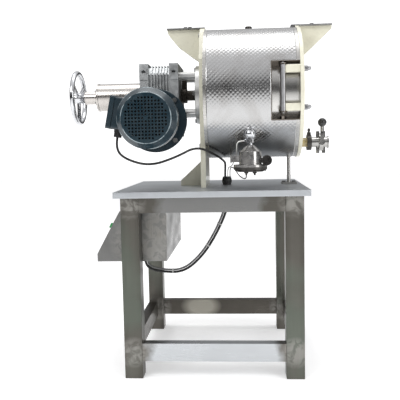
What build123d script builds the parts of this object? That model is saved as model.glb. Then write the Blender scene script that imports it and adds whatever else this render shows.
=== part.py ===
from build123d import *
from math import asin, cos, degrees, pi, radians, sin, sqrt, tan
import os

# Drum refiner mill on a stainless table. Millimetres, +Z up, front towards -Y.
# X = 0, Y = 0 is the middle of the table and Z = 0 is the floor.

# ---- table
TABLE_W = 720.0          # X
TABLE_D = 720.0          # Y
TABLE_H = 703.0          # floor to table surface
TOP_SHEET = 3.0
TOP_SKIRT = 22.0
LEG = 68.0               # square tube, outside
TUBE_WALL = 4.0
LEG_INSET_X = 24.0
LEG_INSET_Y = 14.0
SOLE_T = 6.0
FOOT_HOLE_R = 6.5
RAIL_T = 40.0            # thickness of rails and stretchers
RAIL_H = 75.0
STRETCHER_H = 68.0
STRETCHER_Z = 66.0
WELD_SET = 1.0           # rails sit this far behind the leg faces

# ---- drum and its axis
DRUM_X0 = -29.0
DRUM_L = 363.0
DRUM_R = 260.0
DRUM_AIR = 113.0         # under the drum, down to the table
JACKET_T = 2.0
JACKET_ROOM = 42.0       # liner to the outside of the jacket
LINER_T = 4.0
RING_T = 12.0
BACK_T = 8.0
PLUG_X = 148.0
PLUG_R = 14.0
PLUG_H = 12.0

# ---- stand plate, brackets and bearing flange
STAND_T = 20.0
STAND_W = 290.0
EAR_RISE = 11.0          # ears above the drum
EAR_STRIP_T = 5.0
EAR_STRIP_W = 50.0
EAR_T = 10.0
EAR_L = 136.0
EAR_H = 135.0
DOOR_EAR_L = 134.5
DOOR_EAR_H = 137.0
GUSSET_L = 93.0
GUSSET_H = 108.0
GUSSET_TOE = 22.0
FLANGE_R = 119.0
FLANGE_T = 20.0
STUD_R = 8.0
SPACER_R = 14.0
STUD_OFFSET = 74.0       # stud centres, each way from the axis

# ---- shaft line
SHAFT_R = 21.0
SHAFT_BORE_R = 9.0
RUN = 0.05               # radial running clearance
GAP = 0.5                # air between pieces that move apart
GEAR_X0 = -288.0
GEAR_L = 155.0
GEAR_D = 236.0
GEAR_TOP = 117.0         # above the axis
GEAR_BOTTOM = 62.0       # below the worm axis
WORM_DROP = 106.0        # axis to worm axis
WHEEL_R = 84.0
WORM_R = 18.0

# ---- motor, axis along Y
WORM_IN = 63.0           # worm and motor axis, in from the outer gearbox face
FLANGE_OVER = 41.0       # motor flange outside the motor frame
MOTOR_FLANGE_T = 16.0
MOTOR_FRAME_R = 84.0
MOTOR_FIN_H = 12.0
MOTOR_FRAME_L = 190.0
COWL_AIR = 15.0          # cowl outside the fins
COWL_SHOULDER = 20.0
COWL_L = 84.0
COWL_TAPER = 30.0
COWL_T = 2.0
BOX_TILT = 11.5          # terminal box, degrees above level

# ---- adjusting gear
TUBE_R = 56.0
TUBE_L = 194.0
TUBE_T = 4.0
NECK_R = 27.0
NECK_L = 54.0
WHEEL_RIM_R = 103.0
WHEEL_BAR_R = 10.0
BLADE_TRAVEL = 4.0
BLADE_AIR = 10.0         # scraping edge to the chamber wall, drawn in
BLADE_W = 26.0
BLADE_H = 34.0

# ---- door
DOOR_T = 14.0
DOOR_OVER = 2.0          # door outside the drum
DOOR_EAR_W = 150.0
GASKET_W = 12.0
GASKET_IN = 4.0          # gasket outside the liner
PIN_R = 6.0
BARREL_R = 10.0
PIN_BACK = 64.0          # pin from the door end of the drum
PIN_IN = 16.0            # pin behind the front of the drum
ARM_H = 30.0
ARM_RATIO = 0.273        # arm centres above and below the axis, to the drum radius
ARM_BOLT_IN = 30.0
POCKET_L = 108.0
POCKET_UP = 23.0         # degrees above the axis
POCKET_DOWN = 27.0       # degrees below it
KNOB_IN = 13.0           # clamp knobs inside the edge of the drum
KNOB_ANGLES = (32.0, -32.0)

# ---- outlet
OUTLET_IN = 11.0         # outlet above the bottom of the chamber
SPOUT_R = 19.0
SPOUT_BORE_R = 16.5
SPOUT_L = 42.0
FERRULE_R = 25.25
FERRULE_T = 6.0
VALVE_L = 80.0
VALVE_BORE_R = 17.6
VALVE_BODY_R = 36.0
LEVER_L = 79.0
BALL_R = 17.5

# ---- heater
POT_X = 146.0
POT_SET = 0.665          # inner side of the pot from the drum axis, to the drum radius
POT_R = 43.0
POT_RISE = 0.808         # top of the pot below the axis, to the drum radius
POT_H = 82.0
POT_CONE = 24.0
POT_WALL = 3.0
HEAT_RIM = 21.0          # heater flange outside the pot
HEAT_FLANGE_T = 9.0
ELBOW_DROP = 0.642       # nozzle below the axis, to the drum radius
ELBOW_R = 20.0
PIPE_R = 9.0

# ---- control box
BOX_OUT = 108.0          # in front of the left legs
BOX_IN = 160.0           # behind the face of the left legs
BOX_DROP = 192.0         # below the rails
BOX_SHELL = 2.0
BOX_LIP = 30.0
BOX_SLOPE_X = 90.0
BOX_CLEAR = 5.0          # to each leg

# ---- sizes that follow from those above
CHAMBER_R = DRUM_R - JACKET_ROOM - LINER_T
AXIS_Z = TABLE_H + DRUM_AIR + DRUM_R
EAR_TOP_Z = AXIS_Z + DRUM_R + EAR_RISE
MOTOR_X = GEAR_X0 + WORM_IN
MOTOR_FIN_R = MOTOR_FRAME_R + MOTOR_FIN_H
MOTOR_FLANGE_R = MOTOR_FRAME_R + FLANGE_OVER
COWL_R = MOTOR_FIN_R + COWL_AIR
COWL_FACE_R = COWL_R - COWL_SHOULDER
BLADE_R = CHAMBER_R - BLADE_AIR
DOOR_R = DRUM_R + DOOR_OVER
GASKET_R0 = CHAMBER_R + LINER_T + GASKET_IN
GASKET_R1 = GASKET_R0 + GASKET_W
PIN_X = DRUM_X0 + DRUM_L - PIN_BACK
PIN_Y = PIN_IN - DRUM_R
ARM_OFFSET = ARM_RATIO * DRUM_R
ARM_BOLT_Y = ARM_BOLT_IN - DRUM_R
POCKET_X0 = DRUM_X0 + DRUM_L - POCKET_L
KNOB_R = DRUM_R - KNOB_IN
OUTLET_DROP = CHAMBER_R - OUTLET_IN
POT_Y = -POT_SET * DRUM_R - POT_R
POT_TOP = AXIS_Z - POT_RISE * DRUM_R
HEAT_FLANGE_R = POT_R + HEAT_RIM
ELBOW_Z = AXIS_Z - ELBOW_DROP * DRUM_R

os.makedirs("parts", exist_ok=True)
parts = {}


def block(x0, x1, y0, y1, z0, z1):
    """Box between two X, two Y and two Z values."""
    return Pos((x0 + x1) / 2, (y0 + y1) / 2, (z0 + z1) / 2) * Box(x1 - x0, y1 - y0, z1 - z0)


def rod(axis, radius, start, end, u=0.0, v=0.0):
    """Cylinder along an axis. u and v are the other two coordinates, in X, Y, Z order."""
    body = Cylinder(radius, end - start)
    middle = (start + end) / 2
    if axis == "x":
        return Pos(middle, u, v) * Rot(0, 90, 0) * body
    if axis == "y":
        return Pos(u, middle, v) * Rot(90, 0, 0) * body
    return Pos(u, v, middle) * body


def pipe(axis, outer, inner, start, end, u=0.0, v=0.0):
    """Hollow cylinder along an axis."""
    return rod(axis, outer, start, end, u, v) - rod(axis, inner, start - 1, end + 1, u, v)


def plate_xz(points, y0, y1):
    """Outline in X and Z, thickened along Y."""
    face = make_face(Polyline(*points, close=True))
    return Rot(90, 0, 0) * Pos(0, 0, -y1) * extrude(face, y1 - y0)


def plate_yz(points, x0, x1):
    """Outline in Y and Z, thickened along X."""
    face = Plane.YZ * make_face(Polyline(*points, close=True))
    return Pos(x0, 0, 0) * extrude(face, x1 - x0, dir=(1, 0, 0))


def hexagon(axis, radius, start, end, u=0.0, v=0.0):
    """Hexagonal bar along an axis, radius to its corners."""
    body = extrude(RegularPolygon(radius, 6), end - start)
    if axis == "x":
        return Pos(start, u, v) * Rot(0, 90, 0) * body
    if axis == "y":
        return Pos(u, end, v) * Rot(90, 0, 0) * body
    return Pos(u, v, start) * body


def group(shapes):
    """Several loose pieces that make one sub-part."""
    solids = []
    for shape in shapes:
        solids.extend(shape.solids())
    return Compound(solids)


# ---------------------------------------------------------------- table
half_w = TABLE_W / 2
half_d = TABLE_D / 2
leg_x = half_w - LEG_INSET_X - LEG / 2
leg_y = half_d - LEG_INSET_Y - LEG / 2
frame_top = TABLE_H - TOP_SHEET
gland_x = 50.0
gland_y = 18.0
gland_hole_r = 13.0
bolt_r = 6.0
stand_x1 = DRUM_X0
stand_x0 = stand_x1 - STAND_T
stand_mid_x = (stand_x0 + stand_x1) / 2
stand_bolt_y = STAND_W / 2 - 40

top = block(-half_w, half_w, -half_d, half_d, TABLE_H - TOP_SKIRT, TABLE_H)
top -= block(-half_w + TOP_SHEET, half_w - TOP_SHEET, -half_d + TOP_SHEET, half_d - TOP_SHEET,
             TABLE_H - TOP_SKIRT - 1, frame_top)
top = fillet(top.edges().filter_by(Axis.Z).group_by(SortBy.LENGTH)[-1], 2.0)
top -= rod("z", gland_hole_r, TABLE_H - 40, TABLE_H + 10, gland_x, gland_y)
for y in (-stand_bolt_y, stand_bolt_y):
    top -= rod("z", bolt_r, TABLE_H - 40, TABLE_H + 10, stand_mid_x, y)
post_x = DRUM_X0 + DRUM_L - 27
post_r = 7.5
post_foot = 62.0
post_foot_t = 8.0
post_bolt = 21.0
post_bolt_r = 4.0
for x in (post_x - post_bolt, post_x + post_bolt):
    top -= rod("z", post_bolt_r, TABLE_H - 40, TABLE_H + 10, x, 0)
parts["table_top"] = top

legs = []
for sx, sy in ((-1, -1), (1, -1), (-1, 1), (1, 1)):
    x = sx * leg_x
    y = sy * leg_y
    tube = block(x - LEG / 2, x + LEG / 2, y - LEG / 2, y + LEG / 2, 0, frame_top)
    inner = LEG / 2 - TUBE_WALL
    tube -= block(x - inner, x + inner, y - inner, y + inner, SOLE_T, frame_top + 1)
    tube = fillet(tube.edges().filter_by(Axis.Z).group_by(lambda e: e.length)[-1], 3.0)
    tube -= rod("z", FOOT_HOLE_R, -1, SOLE_T + 1, x, y)
    legs.append(tube)
parts["table_legs"] = group(legs)

leg_out_x = leg_x + LEG / 2
leg_out_y = leg_y + LEG / 2
leg_in_x = leg_x - LEG / 2
leg_in_y = leg_y - LEG / 2


def tube_along_x(y0, z0, height):
    outer = block(-leg_in_x, leg_in_x, y0, y0 + RAIL_T, z0, z0 + height)
    t = TUBE_WALL
    return outer - block(-leg_in_x - 1, leg_in_x + 1, y0 + t, y0 + RAIL_T - t, z0 + t,
                         z0 + height - t)


def tube_along_y(x0, z0, height):
    outer = block(x0, x0 + RAIL_T, -leg_in_y, leg_in_y, z0, z0 + height)
    t = TUBE_WALL
    return outer - block(x0 + t, x0 + RAIL_T - t, -leg_in_y - 1, leg_in_y + 1, z0 + t,
                         z0 + height - t)


rail_z = frame_top - RAIL_H
for name, z, height in (("top_rails", rail_z, RAIL_H), ("stretchers", STRETCHER_Z, STRETCHER_H)):
    parts[name] = group([tube_along_x(-leg_out_y + WELD_SET, z, height),
                         tube_along_x(leg_out_y - WELD_SET - RAIL_T, z, height),
                         tube_along_y(-leg_out_x + WELD_SET, z, height),
                         tube_along_y(leg_out_x - WELD_SET - RAIL_T, z, height)])

# ---------------------------------------------------------------- stand plate and brackets
seal_seat_r = SHAFT_R + 14
bearing_seat_r = SHAFT_R + 11
half_stand = STAND_W / 2
ear_z = EAR_TOP_Z - EAR_STRIP_T


def tapered_top(half, low):
    """Plate outline in Y and Z that narrows to the width of the ear strip at its top."""
    neck_y = DOOR_EAR_W / 2
    neck_z = ear_z - 0.12 * DRUM_R
    top_y = EAR_STRIP_W / 2
    right = [(half, low), (half, AXIS_Z + 0.5 * DRUM_R), (neck_y, neck_z), (top_y, ear_z)]
    return right + [(-y, z) for y, z in reversed(right)]


stand = plate_yz(tapered_top(half_stand, TABLE_H), stand_x0, stand_x1)
stand -= rod("x", seal_seat_r, stand_x0 - 1, stand_x1 + 1, 0, AXIS_Z)
stud_places = [(sy * STUD_OFFSET, AXIS_Z + sz * STUD_OFFSET) for sy in (-1, 1) for sz in (-1, 1)]
stud_grip = 14.0
for y, z in stud_places:
    stand -= rod("x", STUD_R, stand_x0 - 1, stand_x0 + stud_grip, y, z)
stand_bolt_len = 30.0
for y in (-stand_bolt_y, stand_bolt_y):
    stand -= rod("z", bolt_r, TABLE_H - 1, TABLE_H + stand_bolt_len, stand_mid_x, y)
ring_mid_r = (CHAMBER_R + LINER_T + DRUM_R) / 2
ring_bolts = []
for bolt_y, side in ((0.32 * STAND_W / 2, 1), (0.82 * STAND_W / 2, -1)):
    bolt_z = AXIS_Z + side * sqrt(ring_mid_r ** 2 - bolt_y ** 2)
    ring_bolts += [(-bolt_y, bolt_z), (bolt_y, bolt_z)]
for y, z in ring_bolts:
    stand -= rod("x", 5.0, stand_x0 - 1, stand_x1 + 1, y, z)

gusset = plate_xz([(stand_x0, TABLE_H), (stand_x0 - GUSSET_L, TABLE_H),
                   (stand_x0 - GUSSET_L, TABLE_H + GUSSET_TOE), (stand_x0, TABLE_H + GUSSET_H)],
                  -EAR_T / 2, EAR_T / 2)
ear = plate_xz([(stand_x0, ear_z), (stand_x0 - EAR_L, ear_z),
                (stand_x0 - EAR_L + 2, ear_z - 12), (stand_x0 - EAR_L + 12, ear_z - 28),
                (stand_x0 - 0.66 * EAR_L, ear_z - 0.52 * EAR_H),
                (stand_x0 - 0.45 * EAR_L, ear_z - 0.68 * EAR_H),
                (stand_x0 - 0.23 * EAR_L, ear_z - 0.85 * EAR_H), (stand_x0, ear_z - EAR_H)],
               -EAR_T / 2, EAR_T / 2)
parts["stand_plate"] = stand + gusset + ear
strip_bolt_x = (stand_x0 - 43, stand_x0 - 61)
strip = block(stand_x0 - EAR_L, stand_x1, -EAR_STRIP_W / 2, EAR_STRIP_W / 2, ear_z, EAR_TOP_Z)
fasteners = [hexagon("z", 8.0, EAR_TOP_Z, EAR_TOP_Z + 7, x, 0) for x in strip_bolt_x]
for y in (-stand_bolt_y, stand_bolt_y):
    fasteners.append(rod("z", bolt_r, frame_top, TABLE_H + stand_bolt_len, stand_mid_x, y)
                     + hexagon("z", 10.5, frame_top - 8, frame_top, stand_mid_x, y))
for y, z in ring_bolts:
    fasteners.append(rod("x", 5.0, stand_x0, stand_x1 + 8, y, z)
                     + rod("x", 8.0, stand_x0 - 5, stand_x0, y, z))

flange_x1 = stand_x0
flange_x0 = flange_x1 - FLANGE_T
flange = rod("x", FLANGE_R, flange_x0, flange_x1, 0, AXIS_Z)
flange = chamfer(flange.edges().filter_by(GeomType.CIRCLE), 1.5)
flange -= rod("x", bearing_seat_r, flange_x0 - 1, flange_x1 + 1, 0, AXIS_Z)
for y, z in stud_places:
    flange -= rod("x", STUD_R, flange_x0 - 1, flange_x1 + 1, y, z)
flange_bolt_r = FLANGE_R - 14
flange_bolts = []
for angle in (0.0, 90.0, 180.0, 270.0):
    flange_bolts.append((flange_bolt_r * cos(radians(angle)),
                         AXIS_Z + flange_bolt_r * sin(radians(angle))))
parts["bearing_flange"] = flange
for y, z in flange_bolts:
    fasteners.append(hexagon("x", 9.0, flange_x0 - 8, flange_x0, y, z))


def bearing(x0, x1, outer):
    """Ball bearing shown as two races with a shield between them."""
    inner = SHAFT_R + RUN
    ring = pipe("x", outer, inner, x0, x1, 0, AXIS_Z)
    groove = pipe("x", outer - 3, inner + 3, x1 - 1, x1 + 1, 0, AXIS_Z)
    return ring - groove


bearings = [bearing(flange_x0, flange_x1, bearing_seat_r),
            pipe("x", seal_seat_r, SHAFT_R + RUN, stand_x0, stand_x1, 0, AXIS_Z)]

# ---------------------------------------------------------------- drum
drum_x1 = DRUM_X0 + DRUM_L
liner_r = CHAMBER_R + LINER_T
door_x0 = drum_x1 + GAP
door_x1 = door_x0 + DOOR_T


def sector(radius, x0, x1, trim):
    """Wedge of a cylinder about the drum axis that opens to the front."""
    high = radius * tan(radians(POCKET_UP - trim))
    low = radius * tan(radians(POCKET_DOWN - trim))
    wedge = plate_yz([(0, AXIS_Z), (-radius, AXIS_Z - low), (-radius, AXIS_Z + high)], x0, x1)
    return wedge & rod("x", radius, x0, x1, 0, AXIS_Z)


wall_t = 3.0
wall_angle = degrees(asin(wall_t / DRUM_R))
pocket = sector(DRUM_R + 40, POCKET_X0, drum_x1 + 1, 0)
pocket -= rod("x", liner_r, POCKET_X0 - 1, drum_x1 + 2, 0, AXIS_Z)

liner = pipe("x", liner_r, CHAMBER_R, DRUM_X0, drum_x1, 0, AXIS_Z)
back = rod("x", CHAMBER_R, DRUM_X0, DRUM_X0 + BACK_T, 0, AXIS_Z)
back -= rod("x", SHAFT_R + 2, DRUM_X0 - 1, DRUM_X0 + BACK_T + 1, 0, AXIS_Z)

ring_left = pipe("x", DRUM_R, liner_r, DRUM_X0, DRUM_X0 + RING_T, 0, AXIS_Z)
for y, z in ring_bolts:
    ring_left -= rod("x", 5.0, DRUM_X0 - 1, DRUM_X0 + 8, y, z)

knob_places = []
for angle in KNOB_ANGLES:
    knob_places.append((KNOB_R * cos(radians(angle)), AXIS_Z + KNOB_R * sin(radians(angle))))
knob_hole_r = 9.0
knob_nose_r = 6.0
knob_hole = 10.5
knob_air = 0.1           # knob tip to the drum ring, inside the door
ring_right = pipe("x", DRUM_R, liner_r, drum_x1 - RING_T, drum_x1, 0, AXIS_Z) - pocket
for y, z in knob_places:
    ring_right -= rod("x", knob_hole_r, drum_x1 - knob_hole, drum_x1 + 1, y, z)
parts["drum_liner"] = liner
parts["drum_back"] = back
parts["drum_rings"] = group([ring_left, ring_right])

outlet_z = AXIS_Z - OUTLET_DROP
nozzle_drop = AXIS_Z - ELBOW_Z
nozzle_x = POT_X
jacket = pipe("x", DRUM_R, DRUM_R - JACKET_T, DRUM_X0 + RING_T, drum_x1 - RING_T, 0, AXIS_Z)
jacket -= pocket
jacket -= rod("z", PLUG_R - 4, AXIS_Z + DRUM_R - 20, AXIS_Z + DRUM_R + 10, PLUG_X, 0)
jacket -= rod("y", PIPE_R, -DRUM_R, -CHAMBER_R * 0.7, nozzle_x, ELBOW_Z)
parts["drum_jacket"] = jacket

# hinge pocket: two radial walls, an end wall and two lugs that hold the pin
inner_r = liner_r
walls = sector(DRUM_R, POCKET_X0, drum_x1, 0) - sector(DRUM_R + 5, POCKET_X0 + wall_t, drum_x1 + 1,
                                                       wall_angle)
walls -= rod("x", inner_r, POCKET_X0 - 1, drum_x1 + 1, 0, AXIS_Z)
lug_t = 5.0
pin_half = ARM_OFFSET + ARM_H / 2 + GAP + lug_t
lug_r = BARREL_R + 4
for side in (-1, 1):
    z0 = AXIS_Z + side * (pin_half - lug_t)
    z1 = AXIS_Z + side * pin_half
    low = min(z0, z1)
    high = max(z0, z1)
    lug = block(PIN_X - lug_r, PIN_X + lug_r, PIN_Y, -inner_r * cos(radians(POCKET_DOWN)), low, high)
    lug += rod("z", lug_r, low, high, PIN_X, PIN_Y)
    web = block(PIN_X - 5, PIN_X + 5, PIN_Y + 8, 0, min(z0, z1 + side * 60), max(z0, z1 + side * 60))
    lug += web & sector(DRUM_R - 2, POCKET_X0, drum_x1, 0)
    lug -= rod("x", inner_r, POCKET_X0 - 1, drum_x1 + 1, 0, AXIS_Z)
    walls += lug
walls -= rod("z", PIN_R, AXIS_Z - pin_half - 1, AXIS_Z + pin_half + 1, PIN_X, PIN_Y)
parts["hinge_pocket"] = walls
pin_stand = 2.0
pin = rod("z", PIN_R, AXIS_Z - pin_half - pin_stand, AXIS_Z + pin_half + pin_stand, PIN_X, PIN_Y)
parts["hinge_pin"] = chamfer(pin.edges().filter_by(GeomType.CIRCLE), 1.0)

plug_z = AXIS_Z + DRUM_R
plug = rod("z", PLUG_R - 4, plug_z - 10, plug_z + 2, PLUG_X, 0)
plug += rod("z", PLUG_R, plug_z, plug_z + PLUG_H, PLUG_X, 0)
plug = chamfer(plug.edges().group_by(Axis.Z)[-1], 2.0)
fasteners.append(plug - (rod("x", DRUM_R, DRUM_X0, drum_x1, 0, AXIS_Z)
                         - rod("z", PLUG_R - 4, plug_z - 30, plug_z + 5, PLUG_X, 0)))

# ---------------------------------------------------------------- door (swings as one body)
outlet_hole = rod("x", SPOUT_BORE_R, door_x0 - 1, door_x1 + 1, 0, outlet_z)
door = rod("x", DOOR_R, door_x0, door_x1, 0, AXIS_Z)
door += plate_yz(tapered_top(DOOR_EAR_W / 2, AXIS_Z), door_x0, door_x1)
door -= outlet_hole
gasket_depth = 4.0
door -= pipe("x", GASKET_R1, GASKET_R0, door_x0 - 1, door_x0 + gasket_depth, 0, AXIS_Z)
arm_bolt_r = 6.0
for side in (-1, 1):
    door -= rod("x", arm_bolt_r, door_x0 - 1, door_x1 + 1, ARM_BOLT_Y, AXIS_Z + side * ARM_OFFSET)
knob_stem_r = 8.0
for y, z in knob_places:
    door -= rod("x", knob_stem_r + RUN, door_x0 - 1, door_x1 + 1, y, z)
parts["door_gasket"] = pipe("x", GASKET_R1, GASKET_R0, door_x0 + 0.1, door_x0 + gasket_depth, 0,
                            AXIS_Z)
door_ear = plate_xz([(door_x1, ear_z), (door_x1 + DOOR_EAR_L, ear_z),
                              (door_x1 + DOOR_EAR_L, ear_z - 12), (door_x1, ear_z - DOOR_EAR_H)],
                    -EAR_T / 2, EAR_T / 2)
parts["door_plate"] = door + door_ear
strip_in = 16.0
door_steel = [block(door_x0 - strip_in, door_x1 + DOOR_EAR_L, -EAR_STRIP_W / 2, EAR_STRIP_W / 2,
                    ear_z, EAR_TOP_Z),
              hexagon("z", 8.0, EAR_TOP_Z, EAR_TOP_Z + 7, door_x1 + 55, 0)]
arms = []

barrel_half = ARM_OFFSET + ARM_H / 2
barrel = pipe("z", BARREL_R, PIN_R + RUN, AXIS_Z - barrel_half, AXIS_Z + barrel_half, PIN_X, PIN_Y)
door_steel.append(barrel)
for side in (1, -1):
    z = AXIS_Z + side * ARM_OFFSET
    arm = block(PIN_X + 3, door_x0, PIN_Y - 4, ARM_BOLT_Y + 12, z - ARM_H / 2, z + ARM_H / 2)
    arm = fillet(arm.edges().filter_by(Axis.X), 5.0)
    arm -= rod("z", BARREL_R, z - ARM_H, z + ARM_H, PIN_X, PIN_Y)
    arm -= rod("x", arm_bolt_r, door_x0 - 28, door_x0 + 1, ARM_BOLT_Y, z)
    arms.append(arm)
    nut_x = door_x1 + 2
    bolt = rod("x", arm_bolt_r, door_x0 - 28, nut_x + 8, ARM_BOLT_Y, z)
    bolt += rod("x", 12.0, door_x1, nut_x, ARM_BOLT_Y, z)
    bolt += hexagon("x", 11.0, nut_x, nut_x + 12, ARM_BOLT_Y, z)
    bolt += rod("x", 8.5, nut_x + 12, nut_x + 17, ARM_BOLT_Y, z)
    bolt += Pos(nut_x + 17, ARM_BOLT_Y, z) * Sphere(8.5)
    door_steel.append(bolt)
parts["hinge_arms"] = group(arms)
parts["door_strip"] = group(door_steel)

for number, (y, z) in enumerate(knob_places, 1):
    knob = rod("x", knob_nose_r, door_x0 - knob_air, door_x0 + 2, y, z)
    knob += rod("x", knob_stem_r, door_x0 + 2, door_x1 + 10, y, z)
    head = rod("x", 15.0, door_x1 + 10, door_x1 + 28, y, z)
    for lobe in range(4):
        angle = radians(45 + 90 * lobe)
        head += rod("x", 7.0, door_x1 + 12, door_x1 + 28, y + 13 * cos(angle), z + 13 * sin(angle))
    collar = pipe("x", 13.0, knob_stem_r, door_x1 + GAP, door_x1 + 4, y, z)
    parts["clamp_knob_%d" % number] = knob + head + collar

# spout, clamp and valve
ferrule_x = door_x1 + SPOUT_L
spout = rod("x", SPOUT_R, door_x1, ferrule_x, 0, outlet_z)
spout += rod("x", FERRULE_R, ferrule_x - FERRULE_T, ferrule_x, 0, outlet_z)
spout -= rod("x", SPOUT_BORE_R, door_x1 - 1, ferrule_x + 1, 0, outlet_z)
parts["spout"] = spout
valve_x1 = ferrule_x + VALVE_L
valve_mid = ferrule_x + 48.0
stem_r = 5.0
valve = rod("x", SPOUT_R + 2, ferrule_x, valve_x1, 0, outlet_z)
valve += rod("x", FERRULE_R, ferrule_x, ferrule_x + FERRULE_T, 0, outlet_z)
valve += rod("x", FERRULE_R, valve_x1 - FERRULE_T, valve_x1, 0, outlet_z)
valve += rod("x", VALVE_BODY_R, valve_mid - 8, valve_mid - GAP, 0, outlet_z)
valve += rod("x", VALVE_BODY_R, valve_mid - GAP, valve_mid + 8, 0, outlet_z)
valve += rod("y", 12.0, -VALVE_BODY_R - 6, 0, valve_mid, outlet_z)
valve -= rod("x", VALVE_BORE_R, ferrule_x - 1, valve_x1 + 1, 0, outlet_z)
valve -= rod("y", stem_r + RUN, -VALVE_BODY_R - 10, VALVE_BODY_R - 6, valve_mid, outlet_z)
lug_reach = VALVE_BODY_R + 9
for side in (-1, 1):
    for dx in (-12, 12):
        valve += hexagon("z", 7.0, outlet_z + min(side * 20, side * lug_reach),
                         outlet_z + max(side * 20, side * lug_reach), valve_mid + dx, 0) - rod(
            "x", VALVE_BORE_R, ferrule_x - 1, valve_x1 + 1, 0, outlet_z)
parts["valve_body"] = valve
clamp_x0 = ferrule_x - FERRULE_T - 3
clamp_x1 = ferrule_x + FERRULE_T + 3
clamp = pipe("x", FERRULE_R + 7, FERRULE_R, clamp_x0, clamp_x1, 0, outlet_z)
clamp += block(clamp_x0 + 2, clamp_x1 - 2, -10, 10, outlet_z + FERRULE_R + 4,
               outlet_z + FERRULE_R + 16)
clamp += rod("z", 4.0, outlet_z + FERRULE_R + 10, outlet_z + FERRULE_R + 32, ferrule_x, 0)
clamp += block(ferrule_x - 4, ferrule_x + 4, -16, 16, outlet_z + FERRULE_R + 20,
               outlet_z + FERRULE_R + 29)
parts["spout_clamp"] = clamp

disc = rod("x", VALVE_BORE_R - 0.4, valve_mid - 2, valve_mid + 2, 0, outlet_z)
disc += rod("y", stem_r, -VALVE_BODY_R - 12, VALVE_BODY_R - 8, valve_mid, outlet_z)
lever_y = -VALVE_BODY_R - 12
lever = rod("y", 11.0, lever_y - 6, lever_y, valve_mid, outlet_z)
lever += block(valve_mid - 7, valve_mid + 7, lever_y - 5, lever_y - 1, outlet_z,
               outlet_z + LEVER_L - 10)
lever += rod("z", 5.0, outlet_z + LEVER_L - 36, outlet_z + LEVER_L - 8, valve_mid, lever_y - 3)
parts["valve_lever"] = disc + lever
parts["lever_ball"] = Pos(valve_mid, lever_y - 3, outlet_z + LEVER_L) * Sphere(BALL_R) - lever

# ---------------------------------------------------------------- heater under the front
nozzle_y = -sqrt(DRUM_R ** 2 - nozzle_drop ** 2)
elbow_y = POT_Y
elbow = Pos(nozzle_x, elbow_y, ELBOW_Z) * Sphere(ELBOW_R)
elbow += rod("z", PIPE_R, POT_TOP, ELBOW_Z, nozzle_x, elbow_y)
elbow += hexagon("z", 14.0, ELBOW_Z - 34, ELBOW_Z - 18, nozzle_x, elbow_y)
elbow += rod("y", ELBOW_R + 5, elbow_y + 6, elbow_y + 11, nozzle_x, ELBOW_Z)
pot_z0 = POT_TOP - POT_H
pot = rod("z", POT_R, pot_z0, POT_TOP - POT_CONE, POT_X, POT_Y)
pot += Pos(POT_X, POT_Y, POT_TOP - POT_CONE / 2) * Cone(POT_R, PIPE_R + 7, POT_CONE)
pot += rod("z", HEAT_FLANGE_R, pot_z0, pot_z0 + HEAT_FLANGE_T, POT_X, POT_Y)
inside = rod("z", POT_R - POT_WALL, pot_z0 - 1, POT_TOP - POT_CONE, POT_X, POT_Y)
pot -= inside
port_x = POT_X + POT_R + 19
port_z = pot_z0 + 24
pot += rod("x", 10.0, POT_X + POT_R - 2, port_x, POT_Y, port_z)
cover_z = pot_z0 - 10
cover = rod("z", HEAT_FLANGE_R, cover_z, pot_z0, POT_X, POT_Y)
cover += rod("z", HEAT_FLANGE_R - 14, cover_z - 8, cover_z, POT_X, POT_Y)
bolt_circle = HEAT_FLANGE_R - 6
heads = []
for index in range(8):
    angle = radians(22.5 + 45 * index)
    x = POT_X + bolt_circle * cos(angle)
    y = POT_Y + bolt_circle * sin(angle)
    heads.append(hexagon("z", 5.5, cover_z - 5, cover_z, x, y))
terminal_dx = 16.0
terminal_z = cover_z - 22
terminals = []
for dx in (-terminal_dx, terminal_dx):
    post = rod("z", 4.0, terminal_z, cover_z - 8, POT_X + dx, POT_Y)
    post += hexagon("z", 8.0, cover_z - 15, cover_z - 8, POT_X + dx, POT_Y)
    terminals.append(post)
loop_top = POT_TOP - POT_CONE - 12
path = FilletPolyline((POT_X - terminal_dx, POT_Y, pot_z0), (POT_X - terminal_dx, POT_Y, loop_top),
                      (POT_X + terminal_dx, POT_Y, loop_top), (POT_X + terminal_dx, POT_Y, pot_z0),
                      radius=10)
terminals.append(sweep(Plane((POT_X - terminal_dx, POT_Y, pot_z0)) * Circle(4), path=path))
parts["heater_cover"] = group([cover] + heads + terminals)
port = rod("y", 20.0, POT_Y - 14, POT_Y - 2, port_x, port_z)
port += rod("y", 14.0, POT_Y - 2, POT_Y + 14, port_x, port_z)
port -= rod("y", 11.0, POT_Y - 15, POT_Y - 10, port_x, port_z)
bracket_x = POT_X - POT_R - 34
drum_reach_z = AXIS_Z - sqrt(DRUM_R ** 2 - 90 ** 2)
bracket = plate_yz([(-90, pot_z0 + 16), (-90, drum_reach_z + 20), (POT_Y + 10, pot_z0 + 48),
                    (POT_Y + 10, pot_z0 + 16)], bracket_x, bracket_x + 5)
bracket += block(bracket_x, POT_X, POT_Y + 4, POT_Y + 10, pot_z0 + 18, pot_z0 + 44)
bracket -= rod("x", DRUM_R, DRUM_X0, drum_x1, 0, AXIS_Z)
bracket -= rod("z", POT_R, pot_z0, POT_TOP, POT_X, POT_Y)
parts["heater_pot"] = pot + (port + bracket - inside)
sensor_z = ELBOW_Z - 26
sensor_x = nozzle_x - 24
sensor = rod("x", 4.0, sensor_x, nozzle_x, elbow_y, sensor_z)
sensor += hexagon("x", 7.0, sensor_x + 3, sensor_x + 11, elbow_y, sensor_z)
elbow -= rod("x", DRUM_R, DRUM_X0, drum_x1, 0, AXIS_Z)
elbow += rod("y", PIPE_R, elbow_y, nozzle_y + 12, nozzle_x, ELBOW_Z)
parts["jacket_elbow"] = elbow + sensor

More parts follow.
